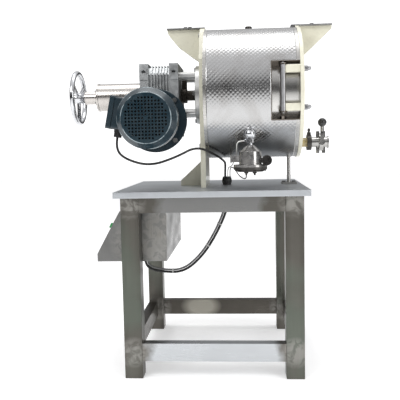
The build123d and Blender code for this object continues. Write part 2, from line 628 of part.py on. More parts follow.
# support post under the drum
post = rod("z", post_r, TABLE_H + post_foot_t, AXIS_Z - DRUM_R + 10, post_x, 0)
post -= rod("x", DRUM_R, -60, 360, 0, AXIS_Z)
foot = block(post_x - post_foot / 2, post_x + post_foot / 2, -post_foot / 2, post_foot / 2,
             TABLE_H, TABLE_H + post_foot_t)
for x in (post_x - post_bolt, post_x + post_bolt):
    foot -= rod("z", post_bolt_r, TABLE_H - 1, TABLE_H + 20, x, 0)
parts["support_post"] = post + foot
for x in (post_x - post_bolt, post_x + post_bolt):
    fasteners.append(rod("z", post_bolt_r, frame_top + GAP, TABLE_H + post_foot_t, x, 0)
                     + hexagon("z", 7.5, TABLE_H + post_foot_t, TABLE_H + post_foot_t + 6, x, 0))

# ---------------------------------------------------------------- gearbox
gear_x1 = GEAR_X0 + GEAR_L
worm_z = AXIS_Z - WORM_DROP
end_t = 36.0
half_gd = GEAR_D / 2
top_z = AXIS_Z + GEAR_TOP
low_z = worm_z - GEAR_BOTTOM
cut = 34.0


def gear_outline(grow):
    d = half_gd + grow
    t = top_z + grow
    b = low_z - grow
    c = cut + 0.4 * grow
    return [(-d, b + c), (-d + c, b), (d - c, b), (d, b + c), (d, t - c), (d - c, t),
            (-d + c, t), (-d, t - c)]


housing = plate_yz(gear_outline(-10), GEAR_X0, gear_x1)
housing += plate_yz(gear_outline(0), GEAR_X0, GEAR_X0 + end_t)
housing += plate_yz(gear_outline(0), gear_x1 - end_t, gear_x1)
fin_pitch = 12.0
fin_t = 5.0
fin_count = int((GEAR_L - 2 * end_t - fin_t) // fin_pitch)
fin_start = (GEAR_X0 + gear_x1) / 2 - (fin_count - 1) * fin_pitch / 2
for index in range(fin_count):
    x = fin_start + index * fin_pitch
    housing += plate_yz(gear_outline(-2), x - fin_t / 2, x + fin_t / 2)
pad_h = 62.0
pad_out = 3.0
for x0 in (GEAR_X0, gear_x1 - end_t):
    pads = block(x0, x0 + end_t, -half_gd - pad_out, half_gd + pad_out, top_z - pad_h, top_z + 2)
    pads -= rod("y", 8.0, -half_gd - 10, -half_gd + 8, x0 + end_t / 2, top_z - pad_h / 2)
    pads -= rod("y", 8.0, half_gd - 8, half_gd + 10, x0 + end_t / 2, top_z - pad_h / 2)
    housing += pads
cavity_r = WHEEL_R + 6
wheel_w = 40.0
gear_mid = MOTOR_X
housing += rod("y", 66.0, -half_gd - 10, -half_gd + 20, MOTOR_X, worm_z)
housing -= rod("x", cavity_r, gear_mid - wheel_w / 2 - 6, gear_mid + wheel_w / 2 + 6, 0, AXIS_Z)
housing -= rod("y", WORM_R + 8, -half_gd + 20, half_gd - 24, MOTOR_X, worm_z)
worm_shaft_r = 11.0
housing -= rod("y", worm_shaft_r + 3, -half_gd - 20, 0, MOTOR_X, worm_z)
gear_seat_r = SHAFT_R + 11
housing -= rod("x", gear_seat_r, GEAR_X0 - 1, gear_x1 + 1, 0, AXIS_Z)
for y, z in stud_places:
    housing -= rod("x", STUD_R, gear_x1 - 14, gear_x1 + 1, y, z)
parts["gearbox_housing"] = housing
bearings.append(bearing(gear_x1 - 18, gear_x1, gear_seat_r))
bearings.append(bearing(GEAR_X0, GEAR_X0 + 18, gear_seat_r))
parts["shaft_bearings"] = group(bearings)
parts["spacer_studs"] = group([
    rod("x", STUD_R, gear_x1 - 14, stand_x0 + stud_grip, y, z)
    + rod("x", SPACER_R, gear_x1, flange_x0, y, z) for y, z in stud_places])

tooth_wheel = rod("x", WHEEL_R, gear_mid - wheel_w / 2, gear_mid + wheel_w / 2, 0, AXIS_Z)
tooth_wheel -= pipe("x", WHEEL_R - 14, SHAFT_R + 17, gear_mid - wheel_w,
                    gear_mid - wheel_w / 2 + 8, 0, AXIS_Z)
teeth = 40
for index in range(teeth):
    angle = 2 * pi * index / teeth
    tooth_wheel -= rod("x", 3.2, gear_mid - wheel_w, gear_mid + wheel_w, WHEEL_R * cos(angle),
                       AXIS_Z + WHEEL_R * sin(angle))
tooth_wheel -= rod("x", SHAFT_R, gear_mid - wheel_w, gear_mid + wheel_w, 0, AXIS_Z)
parts["worm_wheel"] = tooth_wheel

# ---------------------------------------------------------------- motor
motor_y1 = -half_gd - 10
motor_flange_y0 = motor_y1 - MOTOR_FLANGE_T
motor_y0 = motor_flange_y0 - MOTOR_FRAME_L
motor_flange = rod("y", MOTOR_FLANGE_R, motor_flange_y0, motor_y1, MOTOR_X, worm_z)
motor_flange = chamfer(motor_flange.edges().filter_by(GeomType.CIRCLE), 2.0)
motor_flange -= rod("y", worm_shaft_r + 4, motor_flange_y0 - 1, motor_y1 + 1, MOTOR_X, worm_z)
motor_bolt_r = MOTOR_FLANGE_R - 14
motor_bolts = []
for index in range(4):
    angle = radians(45 + 90 * index)
    motor_bolts.append((MOTOR_X + motor_bolt_r * cos(angle), worm_z + motor_bolt_r * sin(angle)))
for x, z in motor_bolts:
    motor_flange -= rod("y", 6.0, motor_flange_y0 - 1, motor_y1 + 1, x, z)
for x, z in motor_bolts:
    fasteners.append(rod("y", 6.0, motor_flange_y0, motor_y1, x, z)
                     + hexagon("y", 10.0, motor_flange_y0 - 8, motor_flange_y0, x, z))
rotor_r = 48.0
frame_body = rod("y", MOTOR_FRAME_R, motor_y0, motor_flange_y0, MOTOR_X, worm_z)
fins = 28
for index in range(fins):
    angle = 360.0 * index / fins
    fin = block(-1.5, 1.5, motor_y0 + 8, motor_flange_y0 - 14, MOTOR_FRAME_R - 4, MOTOR_FIN_R)
    frame_body += Pos(MOTOR_X, 0, worm_z) * Rot(0, angle, 0) * fin
motor_shell_r = rotor_r + 3
frame_body -= rod("y", motor_shell_r, motor_y0 + 14, motor_flange_y0 + 1, MOTOR_X, worm_z)
frame_body -= rod("y", worm_shaft_r + RUN, motor_y0 - 1, motor_y0 + 20, MOTOR_X, worm_z)
tilt = Pos(MOTOR_X, 0, worm_z) * Rot(0, BOX_TILT, 0) * Pos(-MOTOR_X, 0, -worm_z)
tb_x1 = MOTOR_X - MOTOR_FRAME_R + 2
tb_x0 = tb_x1 - 54
tb_lid_x = tb_x0 - 18
tb_y0 = motor_y0 + 14
tb_y1 = tb_y0 + 108
tb_h = 118.0
tb_wall = 3.0
neck = block(tb_x1 - 20, tb_x1 + 4, tb_y0 + 8, tb_y1 - 8, worm_z - 44, worm_z + 44)
terminal = block(tb_x0, tb_x1 - 16, tb_y0, tb_y1, worm_z - tb_h / 2, worm_z + tb_h / 2)
terminal = fillet(terminal.edges().filter_by(Axis.X), 8.0)
terminal -= block(tb_x0 - 1, tb_x1 - 20, tb_y0 + tb_wall, tb_y1 - tb_wall,
                  worm_z - tb_h / 2 + tb_wall, worm_z + tb_h / 2 - tb_wall)
tb_gland_x = (tb_x0 + tb_x1) / 2 - 4
tb_gland_y = (tb_y0 + tb_y1) / 2
tb_gland_r = 9.0
terminal += neck
terminal -= rod("z", tb_gland_r, worm_z - tb_h, worm_z, tb_gland_x, tb_gland_y)
terminal = tilt * terminal
terminal -= rod("y", MOTOR_FRAME_R, motor_y0 - 1, motor_flange_y0 + 1, MOTOR_X, worm_z)
frame_body -= tilt * block(tb_x0, tb_x1 + 8, tb_y0 + 8, tb_y1 - 8, worm_z - 44, worm_z + 44) - rod(
    "y", MOTOR_FRAME_R, motor_y0 - 1, motor_flange_y0 + 1, MOTOR_X, worm_z)
frame_body -= tilt * block(tb_x0, tb_x1 - 14, tb_y0 - 1, tb_y1 + 1, worm_z - tb_h / 2 - 1,
                           worm_z + tb_h / 2 + 1)
lid = block(tb_lid_x, tb_x0, tb_y0 - 3, tb_y1 + 3, worm_z - tb_h / 2 - 3, worm_z + tb_h / 2 + 3)
lid = tilt * fillet(lid.edges().filter_by(Axis.X), 9.0)
parts["terminal_box"] = group([terminal, lid])
tb_bottom = worm_z - tb_h / 2
gland_len = 30.0
tb_gland = rod("z", tb_gland_r, tb_bottom, tb_bottom + tb_wall + 6, tb_gland_x, tb_gland_y)
tb_gland += hexagon("z", 17.0, tb_bottom - 12, tb_bottom, tb_gland_x, tb_gland_y)
tb_gland += rod("z", 15.0, tb_bottom - gland_len, tb_bottom - 12, tb_gland_x, tb_gland_y)
glands = [tilt * tb_gland]

cowl_y1 = motor_y0 + 26
cowl_y0 = cowl_y1 - COWL_L
face_t = 3.0


def cowl_shape(shrink):
    straight = rod("y", COWL_R - shrink, cowl_y0 + COWL_TAPER, cowl_y1, MOTOR_X, worm_z)
    cone = Pos(MOTOR_X, cowl_y0 + COWL_TAPER / 2, worm_z) * Rot(90, 0, 0) * Cone(
        COWL_R - shrink, COWL_FACE_R - shrink, COWL_TAPER)
    return straight + cone


cowl = cowl_shape(0) - Pos(0, face_t, 0) * cowl_shape(COWL_T)
grid_pitch = 12.0
grid_r = COWL_FACE_R - 14
grid_n = int(grid_r // grid_pitch)
holes = []
for row in range(-grid_n, grid_n + 1):
    for column in range(-grid_n, grid_n + 1):
        x = MOTOR_X + column * grid_pitch
        z = worm_z + row * grid_pitch
        if 9.0 < sqrt((x - MOTOR_X) ** 2 + (z - worm_z) ** 2) < grid_r:
            holes.append(block(x - 3.5, x + 3.5, cowl_y0 - 1, cowl_y0 + face_t + 1, z - 3.5, z + 3.5))
cowl -= holes
cowl -= tilt * block(tb_x0, tb_x1 + 8, tb_y0 - 3, cowl_y1 + 1, worm_z - tb_h / 2 - 6,
                     worm_z + tb_h / 2 + 6)
parts["fan_cowl"] = cowl
lugs = []
for index in range(4):
    angle = radians(45 + 90 * index)
    lug = block(MOTOR_FIN_R - 4, COWL_R - COWL_T, motor_y0 + 10, motor_y0 + 20, -5, 5)
    lug = Pos(MOTOR_X, 0, worm_z) * Rot(0, 45 + 90 * index, 0) * lug
    lugs.append(lug)
for lug in lugs:
    frame_body += lug & rod("y", COWL_R - COWL_T, motor_y0, motor_y1, MOTOR_X, worm_z)
parts["motor_frame"] = frame_body + motor_flange

fan_y0 = motor_y0 - 34
fan_y1 = motor_y0 - 6
fan = rod("y", 22.0, fan_y0, fan_y1, MOTOR_X, worm_z)
fan += rod("y", 74.0, fan_y1 - 3, fan_y1, MOTOR_X, worm_z)
for index in range(7):
    vane = block(-1.5, 1.5, fan_y0 + 2, fan_y1, 20, 72)
    fan += Pos(MOTOR_X, 0, worm_z) * Rot(0, 360.0 * index / 7, 0) * vane
fan -= rod("y", worm_shaft_r, fan_y0 - 1, fan_y1 + 1, MOTOR_X, worm_z)
parts["fan"] = fan
worm_end = half_gd - 30
worm = rod("y", worm_shaft_r, fan_y0, worm_end, MOTOR_X, worm_z)
worm += rod("y", WORM_R, -48, 48, MOTOR_X, worm_z)
worm += rod("y", rotor_r, motor_y0 + 30, motor_flange_y0 - 16, MOTOR_X, worm_z)
parts["worm_shaft"] = worm

# ---------------------------------------------------------------- adjusting tube and handwheel
tube_x1 = GEAR_X0
tube_x0 = tube_x1 - TUBE_L
cap_t = 10.0
adjust = pipe("x", TUBE_R, TUBE_R - TUBE_T, tube_x0 + cap_t, tube_x1, 0, AXIS_Z)
cap = rod("x", TUBE_R + 2, tube_x0, tube_x0 + cap_t, 0, AXIS_Z)
cap = chamfer(cap.edges().filter_by(GeomType.CIRCLE), 2.0)
screw_r = 12.0
neck_x0 = tube_x0 - NECK_L
cap += rod("x", NECK_R, neck_x0, tube_x0 + 1, 0, AXIS_Z)
cap -= rod("x", screw_r + RUN, neck_x0 - 1, tube_x0 + cap_t + 1, 0, AXIS_Z)
parts["adjust_tube"] = adjust + cap
cap_heads = []
cap_bolt_r = TUBE_R - 12
for index in range(6):
    angle = radians(30 + 60 * index)
    cap_heads.append(rod("x", 5.0, tube_x0 - 5, tube_x0, cap_bolt_r * cos(angle),
                         AXIS_Z + cap_bolt_r * sin(angle)))
fasteners.extend(cap_heads)

hub_x1 = neck_x0 - GAP
wheel_x = hub_x1 - 30
hub = rod("x", 22.0, wheel_x - 16, hub_x1, 0, AXIS_Z)
rim = Pos(wheel_x, 0, AXIS_Z) * Rot(0, 90, 0) * Torus(WHEEL_RIM_R, WHEEL_BAR_R)
spokes = hub
for index in range(3):
    spoke = rod("z", 7.5, 12, WHEEL_RIM_R - 2)
    spokes += Pos(wheel_x, 0, AXIS_Z) * Rot(60 + 120 * index, 0, 0) * spoke
parts["handwheel"] = rim + spokes - rod("x", screw_r, wheel_x - 30, hub_x1 + 1, 0, AXIS_Z)
screw_x1 = tube_x0 + 70
parts["adjust_screw"] = rod("x", screw_r, wheel_x - 18, screw_x1, 0, AXIS_Z) + hexagon(
    "x", 14.0, wheel_x - 26, wheel_x - 16, 0, AXIS_Z)
thrust_x0 = screw_x1 + GAP
thrust = rod("x", TUBE_R - TUBE_T - 0.05, thrust_x0, thrust_x0 + 24, 0, AXIS_Z)
parts["thrust_block"] = thrust
rod_x0 = thrust_x0 + 24 + GAP

# ---------------------------------------------------------------- shaft, rod, hubs and blades
shaft_x1 = drum_x1 - 28
shaft = rod("x", SHAFT_R, GEAR_X0 - 6, shaft_x1, 0, AXIS_Z)
shaft -= rod("x", SHAFT_BORE_R, GEAR_X0 - 10, shaft_x1 + 1, 0, AXIS_Z)
collar_x0 = gear_x1 + 4
collar_x1 = collar_x0 + 20
collar = pipe("x", SHAFT_R + 10, SHAFT_R, collar_x0, collar_x1, 0, AXIS_Z)
lug = block(collar_x0, collar_x1, -9, 9, AXIS_Z + 26, AXIS_Z + 60)
clamp_collar = collar + (lug - rod("x", SHAFT_R + 7, collar_x0 - 1, collar_x1 + 1, 0, AXIS_Z))
hub_xs = (DRUM_X0 + BACK_T + 52.0, drum_x1 - 72)
hub_w = 34.0
hub_r = SHAFT_R + 23
guide_r = 7.0
arm_len = BLADE_R - BLADE_H - 26
blade_angles = (90.0, 210.0, 330.0)
blade_x0 = DRUM_X0 + BACK_T + 6
blade_x1 = drum_x1 - 10
pin_root = 72.0
push_r = SHAFT_BORE_R - 0.1
parts["main_shaft"] = shaft + clamp_collar
hubs = []
for x in hub_xs:
    body = rod("x", hub_r, x - hub_w / 2, x + hub_w / 2, 0, AXIS_Z)
    for angle in blade_angles:
        arm = rod("z", 15.0, 30, arm_len)
        arm -= rod("z", guide_r + RUN, pin_root - BLADE_TRAVEL - 4, arm_len + 1)
        body += Pos(x, 0, AXIS_Z) * Rot(angle - 90, 0, 0) * arm
    hubs.append(body - rod("x", SHAFT_R, x - hub_w, x + hub_w, 0, AXIS_Z))
parts["rotor_hubs"] = group(hubs)
parts["push_rod"] = rod("x", push_r, rod_x0, shaft_x1 - 18, 0, AXIS_Z)
for number, angle in enumerate(blade_angles, 1):
    blade = block(blade_x0, blade_x1, -BLADE_W / 2, BLADE_W / 2, BLADE_R - BLADE_H, BLADE_R - 8)
    tip = plate_yz([(-BLADE_W / 2, BLADE_R - 8), (BLADE_W / 2, BLADE_R - 8), (4, BLADE_R - 0.2),
                    (-4, BLADE_R - 0.2)], blade_x0, blade_x1)
    blade += tip
    for x in hub_xs:
        blade += rod("z", guide_r, pin_root, BLADE_R - BLADE_H + 1, x, 0)
    parts["blade_%d" % number] = Pos(0, 0, AXIS_Z) * Rot(angle - 90, 0, 0) * blade

# ---------------------------------------------------------------- control box
box_top = rail_z
BOX_X0 = -leg_out_x - BOX_OUT
BOX_X1 = -leg_out_x + BOX_IN
box_z0 = box_top - BOX_DROP
box_y = leg_in_y - BOX_CLEAR
slope_x1 = BOX_X0 + BOX_SLOPE_X
slope_len = sqrt(BOX_SLOPE_X ** 2 + (BOX_DROP - BOX_LIP) ** 2)
slope_c = BOX_SLOPE_X / slope_len
slope_s = (BOX_DROP - BOX_LIP) / slope_len


def box_outline(inset):
    """Side outline of the box. The operator's face slopes back as it rises."""
    low = box_z0 + inset
    high = box_top - inset
    left = BOX_X0 + inset
    lean = inset / slope_s
    knee_z = box_z0 + BOX_LIP + (inset - lean) * slope_s / slope_c
    knee_x = left
    top_x = slope_x1 + lean - inset * slope_c / slope_s
    return [(left, low), (knee_x, knee_z), (top_x, high), (BOX_X1 - inset, high),
            (BOX_X1 - inset, low)]


shell = plate_xz(box_outline(0), -box_y, box_y)
shell -= plate_xz(box_outline(BOX_SHELL), -box_y + BOX_SHELL, box_y - BOX_SHELL)


def on_slope(along, y, lift=0.0):
    """Frame on the sloped face: X runs towards the back, Z out of the face."""
    x = BOX_X0 + along * slope_c - lift * slope_s
    z = box_z0 + BOX_LIP + along * slope_s + lift * slope_c
    return Plane(origin=(x, y, z), x_dir=(0, 1, 0), z_dir=(-slope_s, 0, slope_c))


panel_t = 2.0
panel_edge = 14.0
panel_mid = slope_len / 2
button_r = 11.0
button_fit = 0.35
stem_in = 14.0
button_along = 0.55 * slope_len
panel = on_slope(panel_mid, 0, panel_t / 2) * Box(2 * (box_y - panel_edge), slope_len - 2 * panel_edge,
                                                 panel_t)
panel += on_slope(button_along, 70, panel_t + 3) * Box(48, 48, 6)
panel += on_slope(button_along, 150, panel_t + 3) * Box(48, 48, 6)
bezel_h = 5.0
buttons = (("start_button", -175.0, button_r, 6.0), ("stop_button", -120.0, button_r, 6.0),
           ("emergency_stop", -50.0, 19.0, 14.0))
for name, y, cap_r, cap_h in buttons:
    panel += on_slope(button_along, y, panel_t + bezel_h / 2) * Cylinder(button_r + 5, bezel_h)
    hole = on_slope(button_along, y, 0) * Cylinder(button_r + button_fit, 60)
    panel -= hole
    shell -= hole
    lift = panel_t + bezel_h + 5.5
    stem = on_slope(button_along, y, (lift - stem_in) / 2) * Cylinder(button_r, lift + stem_in)
    stem += on_slope(button_along, y, lift + cap_h / 2) * Cylinder(cap_r, cap_h)
    parts[name] = stem
shell_gland_x = BOX_X0 + 144
mains_x = BOX_X0 + 200
mains_y = 150.0
mains_bore_r = 6.5
box_gland_hole_r = 10.0
for x, y in ((shell_gland_x, 0.0), (mains_x, mains_y)):
    shell -= rod("z", box_gland_hole_r, box_z0 - 10, box_z0 + 10, x, y)
parts["box_shell"] = shell
parts["box_panel"] = panel
back_plate = block(BOX_X1 - 14, BOX_X1 - 11, -box_y + 40, box_y - 40, box_z0 + 20, box_top - 20)
for y in (-box_y + 60, box_y - 60):
    back_plate += block(BOX_X1 - 11, BOX_X1 - BOX_SHELL, y - 10, y + 10, box_z0 + 60, box_z0 + 90)
back_plate += block(BOX_X1 - 22, BOX_X1 - 14, -box_y + 50, box_y - 50, box_z0 + 80, box_z0 + 115)
for y, width in ((-160, 45), (-95, 45), (-20, 72), (70, 36), (120, 36), (180, 60)):
    back_plate += block(BOX_X1 - 100, BOX_X1 - 22, y - width / 2, y + width / 2, box_z0 + 58,
                        box_z0 + 138)
parts["box_switchgear"] = back_plate


def box_gland(x, y):
    body = rod("z", box_gland_hole_r, box_z0, box_z0 + 10, x, y)
    body += hexagon("z", 17.0, box_z0 - 12, box_z0, x, y)
    return body + rod("z", 14.0, box_z0 - 22, box_z0 - 12, x, y)


glands.append(box_gland(shell_gland_x, 0.0))
glands.append(box_gland(mains_x, mains_y) - rod("z", mains_bore_r, box_z0 - 30, box_z0 + 20,
                                                mains_x, mains_y))
table_gland_top = TABLE_H + 33.0
table_gland = rod("z", gland_hole_r, frame_top - 4, TABLE_H, gland_x, gland_y)
table_gland += rod("z", 17.5, TABLE_H, table_gland_top, gland_x, gland_y)
table_gland += hexagon("z", 20.0, frame_top - 12, frame_top, gland_x, gland_y)
table_gland += rod("z", 12.0, frame_top - 28, frame_top - 12, gland_x, gland_y)
glands.append(table_gland)
parts["cable_glands"] = group(glands)

# ---------------------------------------------------------------- cables


def cord(name, radius, points):
    """Round cable through bend points: straight runs joined by tangent arcs."""
    corners = [Vector(*p) for p in points]
    radii = []
    for before, corner, after in zip(corners, corners[1:], corners[2:]):
        run_in = corner - before
        run_out = after - corner
        half_turn = radians(run_in.get_angle(run_out)) / 2
        radii.append(0.45 * min(run_in.length, run_out.length) / tan(half_turn))
    line = FilletPolyline(*points, radius=radii)
    start = Plane(origin=corners[0], z_dir=(corners[1] - corners[0]).normalized())
    tube = sweep(start * Circle(radius), path=line)
    print(name, "length", round(line.length), "least bend", round(min(radii), 1),
          "volume ratio", round(tube.volume / (pi * radius ** 2 * line.length), 3))
    parts[name] = tube


def route(start, end, between):
    """Bend points from start to end. Each one between is a share of the way and an offset."""
    points = [start]
    for share, dx, dy, dz in between:
        points.append((start[0] + share * (end[0] - start[0]) + dx,
                       start[1] + share * (end[1] - start[1]) + dy,
                       start[2] + share * (end[2] - start[2]) + dz))
    return points + [end]


def below_drum(x, angle, gap):
    """Point a gap away from the lower front of the drum, at an angle below level."""
    reach = DRUM_R + gap
    return (x, -reach * cos(radians(angle)), AXIS_Z - reach * sin(radians(angle)))


exit_point = (tilt * Pos(tb_gland_x, tb_gland_y, tb_bottom - gland_len)).position
exit_x = exit_point.X
exit_z = exit_point.Z
cord("motor_cable", 4.5, [
    (exit_x, tb_gland_y, exit_z),
    (exit_x - 40 * sin(radians(BOX_TILT)), tb_gland_y, exit_z - 40 * cos(radians(BOX_TILT))),
    (exit_x + 20, tb_gland_y + 4, exit_z - 80), (exit_x + 116, tb_gland_y + 11, exit_z - 111),
    (exit_x + 216, tb_gland_y + 34, exit_z - 80), below_drum(-58, 48, 20), below_drum(20, 65.5, 16),
    below_drum(gland_x - 9, 79.5, 17), (gland_x - 5, gland_y - 32, TABLE_H + 91),
    (gland_x - 6, gland_y - 12, TABLE_H + 69), (gland_x - 7, gland_y - 6, TABLE_H + 49),
    (gland_x - 7, gland_y - 6, table_gland_top)])
sensor_end = (gland_x + 4, gland_y - 10, table_gland_top)
cord("sensor_cable", 2.0, route((sensor_x, elbow_y, sensor_z), sensor_end, [
    (0.0, -18, 0, 0), (0.04, -25, 0, -5), (0.14, -18, -1, -15), (0.30, -10, -1, -19), (0.52, -7, -3, -10),
    (0.72, -3, 3, 3), (0.86, -3, 4, 22), (1.0, 0, 0, 30)]))
heater_end = (gland_x + 13, gland_y + 6, table_gland_top)
cord("heater_cable", 2.0, route((POT_X - terminal_dx, POT_Y, terminal_z), heater_end, [
    (0.0, 0, 0, -13), (0.12, -6, -3, -12), (0.30, -13, -2, 7), (0.50, -8, 0, 24),
    (0.72, -4, 3, 36), (0.88, -5, 5, 37), (1.0, 0, 0, 26)]))

harness_end = (shell_gland_x, 0, box_z0 - 22)
harness = route((gland_x, gland_y, frame_top - 28), harness_end, [
    (0.0, 0, 0, -32), (0.02, -5, -3, -84), (0.16, 0, -8, -140), (0.33, 2, -14, -182),
    (0.55, 2, -14, -189), (0.80, 0, -8, -122), (0.95, 0, -2, -71), (1.0, 0, 0, -33)])


def beside(points, gap):
    """The same route, moved sideways in X and Z so that the two stay parallel."""
    sides = []
    for here, after in zip(points, points[1:]):
        along = Vector(after[0] - here[0], 0, after[2] - here[2]).normalized()
        sides.append(Vector(along.Z, 0, -along.X))
    moved = []
    for index, point in enumerate(points):
        total = sides[max(index - 1, 0)] + sides[min(index, len(sides) - 1)]
        shift = total.normalized() * (2 * gap / total.length)
        moved.append((point[0] + shift.X, point[1], point[2] + shift.Z))
    return moved


lead_gap = 5.0
lead_radii = (5.0, 4.0)
leads = (beside(harness, -lead_gap), beside(harness, lead_gap))
for name, radius, points in zip(("harness_1", "harness_2"), lead_radii, leads):
    cord(name, radius, points)
tie_t = 1.3
ties = []
for index in (2, 3, 5):
    spots = []
    for points in leads:
        a = Vector(*points[index])
        b = Vector(*points[index + 1])
        spots.append((a + b) * 0.5)
    run = Vector(*leads[0][index + 1]) - Vector(*leads[0][index])
    across = (spots[1] - spots[0]).normalized()
    flat = Plane(origin=(spots[0] + spots[1]) * 0.5, x_dir=across, z_dir=run.normalized())
    band = Box(2 * lead_gap, 2 * (lead_radii[1] + tie_t), 5)
    for side, radius in zip((-1, 1), lead_radii):
        band += Pos(side * lead_gap, 0, 0) * Cylinder(radius + tie_t, 5)
    for side, radius in zip((-1, 1), lead_radii):
        band -= Pos(side * lead_gap, 0, 0) * Cylinder(radius + 0.4, 9)
    ties.append(flat * band)
parts["cable_ties"] = group(ties)

fasteners.append(strip)
parts["fasteners"] = group(fasteners)

for name, shape in parts.items():
    export_step(shape, os.path.join("parts", name + ".step"))
print(len(parts), "parts")
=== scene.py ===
from math import cos, pi, radians, sin

import bpy
from mathutils import Matrix, Vector


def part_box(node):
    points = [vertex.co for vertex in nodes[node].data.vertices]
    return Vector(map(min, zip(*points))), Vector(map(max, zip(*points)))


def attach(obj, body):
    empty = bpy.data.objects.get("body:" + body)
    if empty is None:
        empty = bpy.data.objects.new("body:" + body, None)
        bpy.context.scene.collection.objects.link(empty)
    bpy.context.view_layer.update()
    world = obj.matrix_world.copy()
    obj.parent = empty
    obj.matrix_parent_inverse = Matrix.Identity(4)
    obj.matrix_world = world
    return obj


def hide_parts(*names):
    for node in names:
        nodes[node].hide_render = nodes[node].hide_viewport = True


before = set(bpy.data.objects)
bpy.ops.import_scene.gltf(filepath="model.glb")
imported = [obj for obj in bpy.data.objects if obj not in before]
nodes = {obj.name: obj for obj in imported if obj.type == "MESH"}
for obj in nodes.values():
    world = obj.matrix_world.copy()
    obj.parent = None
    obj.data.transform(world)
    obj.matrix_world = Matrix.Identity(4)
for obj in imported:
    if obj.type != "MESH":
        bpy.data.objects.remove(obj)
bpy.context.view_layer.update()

scene = bpy.context.scene
scene.view_settings.view_transform = "Standard"
MM = 0.001

# ---------------------------------------------------------------- camera
CAMERA_AT = (0.1124, -2.560, 0.8667)
CAMERA_YAW = 3.95        # degrees to the left of +Y
CAMERA_PITCH = 5.04      # degrees down
CAMERA_ROLL = -1.15
CAMERA_LENS = 55.06

yaw, pitch, roll = radians(CAMERA_YAW), radians(CAMERA_PITCH), radians(CAMERA_ROLL)
ahead = Vector((-sin(yaw) * cos(pitch), cos(yaw) * cos(pitch), -sin(pitch)))
level = Vector((cos(yaw), sin(yaw), 0.0))
up = level.cross(ahead)
right = level * cos(roll) + up * sin(roll)
up = up * cos(roll) - level * sin(roll)
camera_data = bpy.data.cameras.new("camera")
camera_data.lens = CAMERA_LENS
camera_data.sensor_width = 36.0
camera = bpy.data.objects.new("camera", camera_data)
turn = Matrix((right, up, -ahead)).transposed().to_4x4()
camera.matrix_world = Matrix.Translation(CAMERA_AT) @ turn
scene.collection.objects.link(camera)
scene.camera = camera


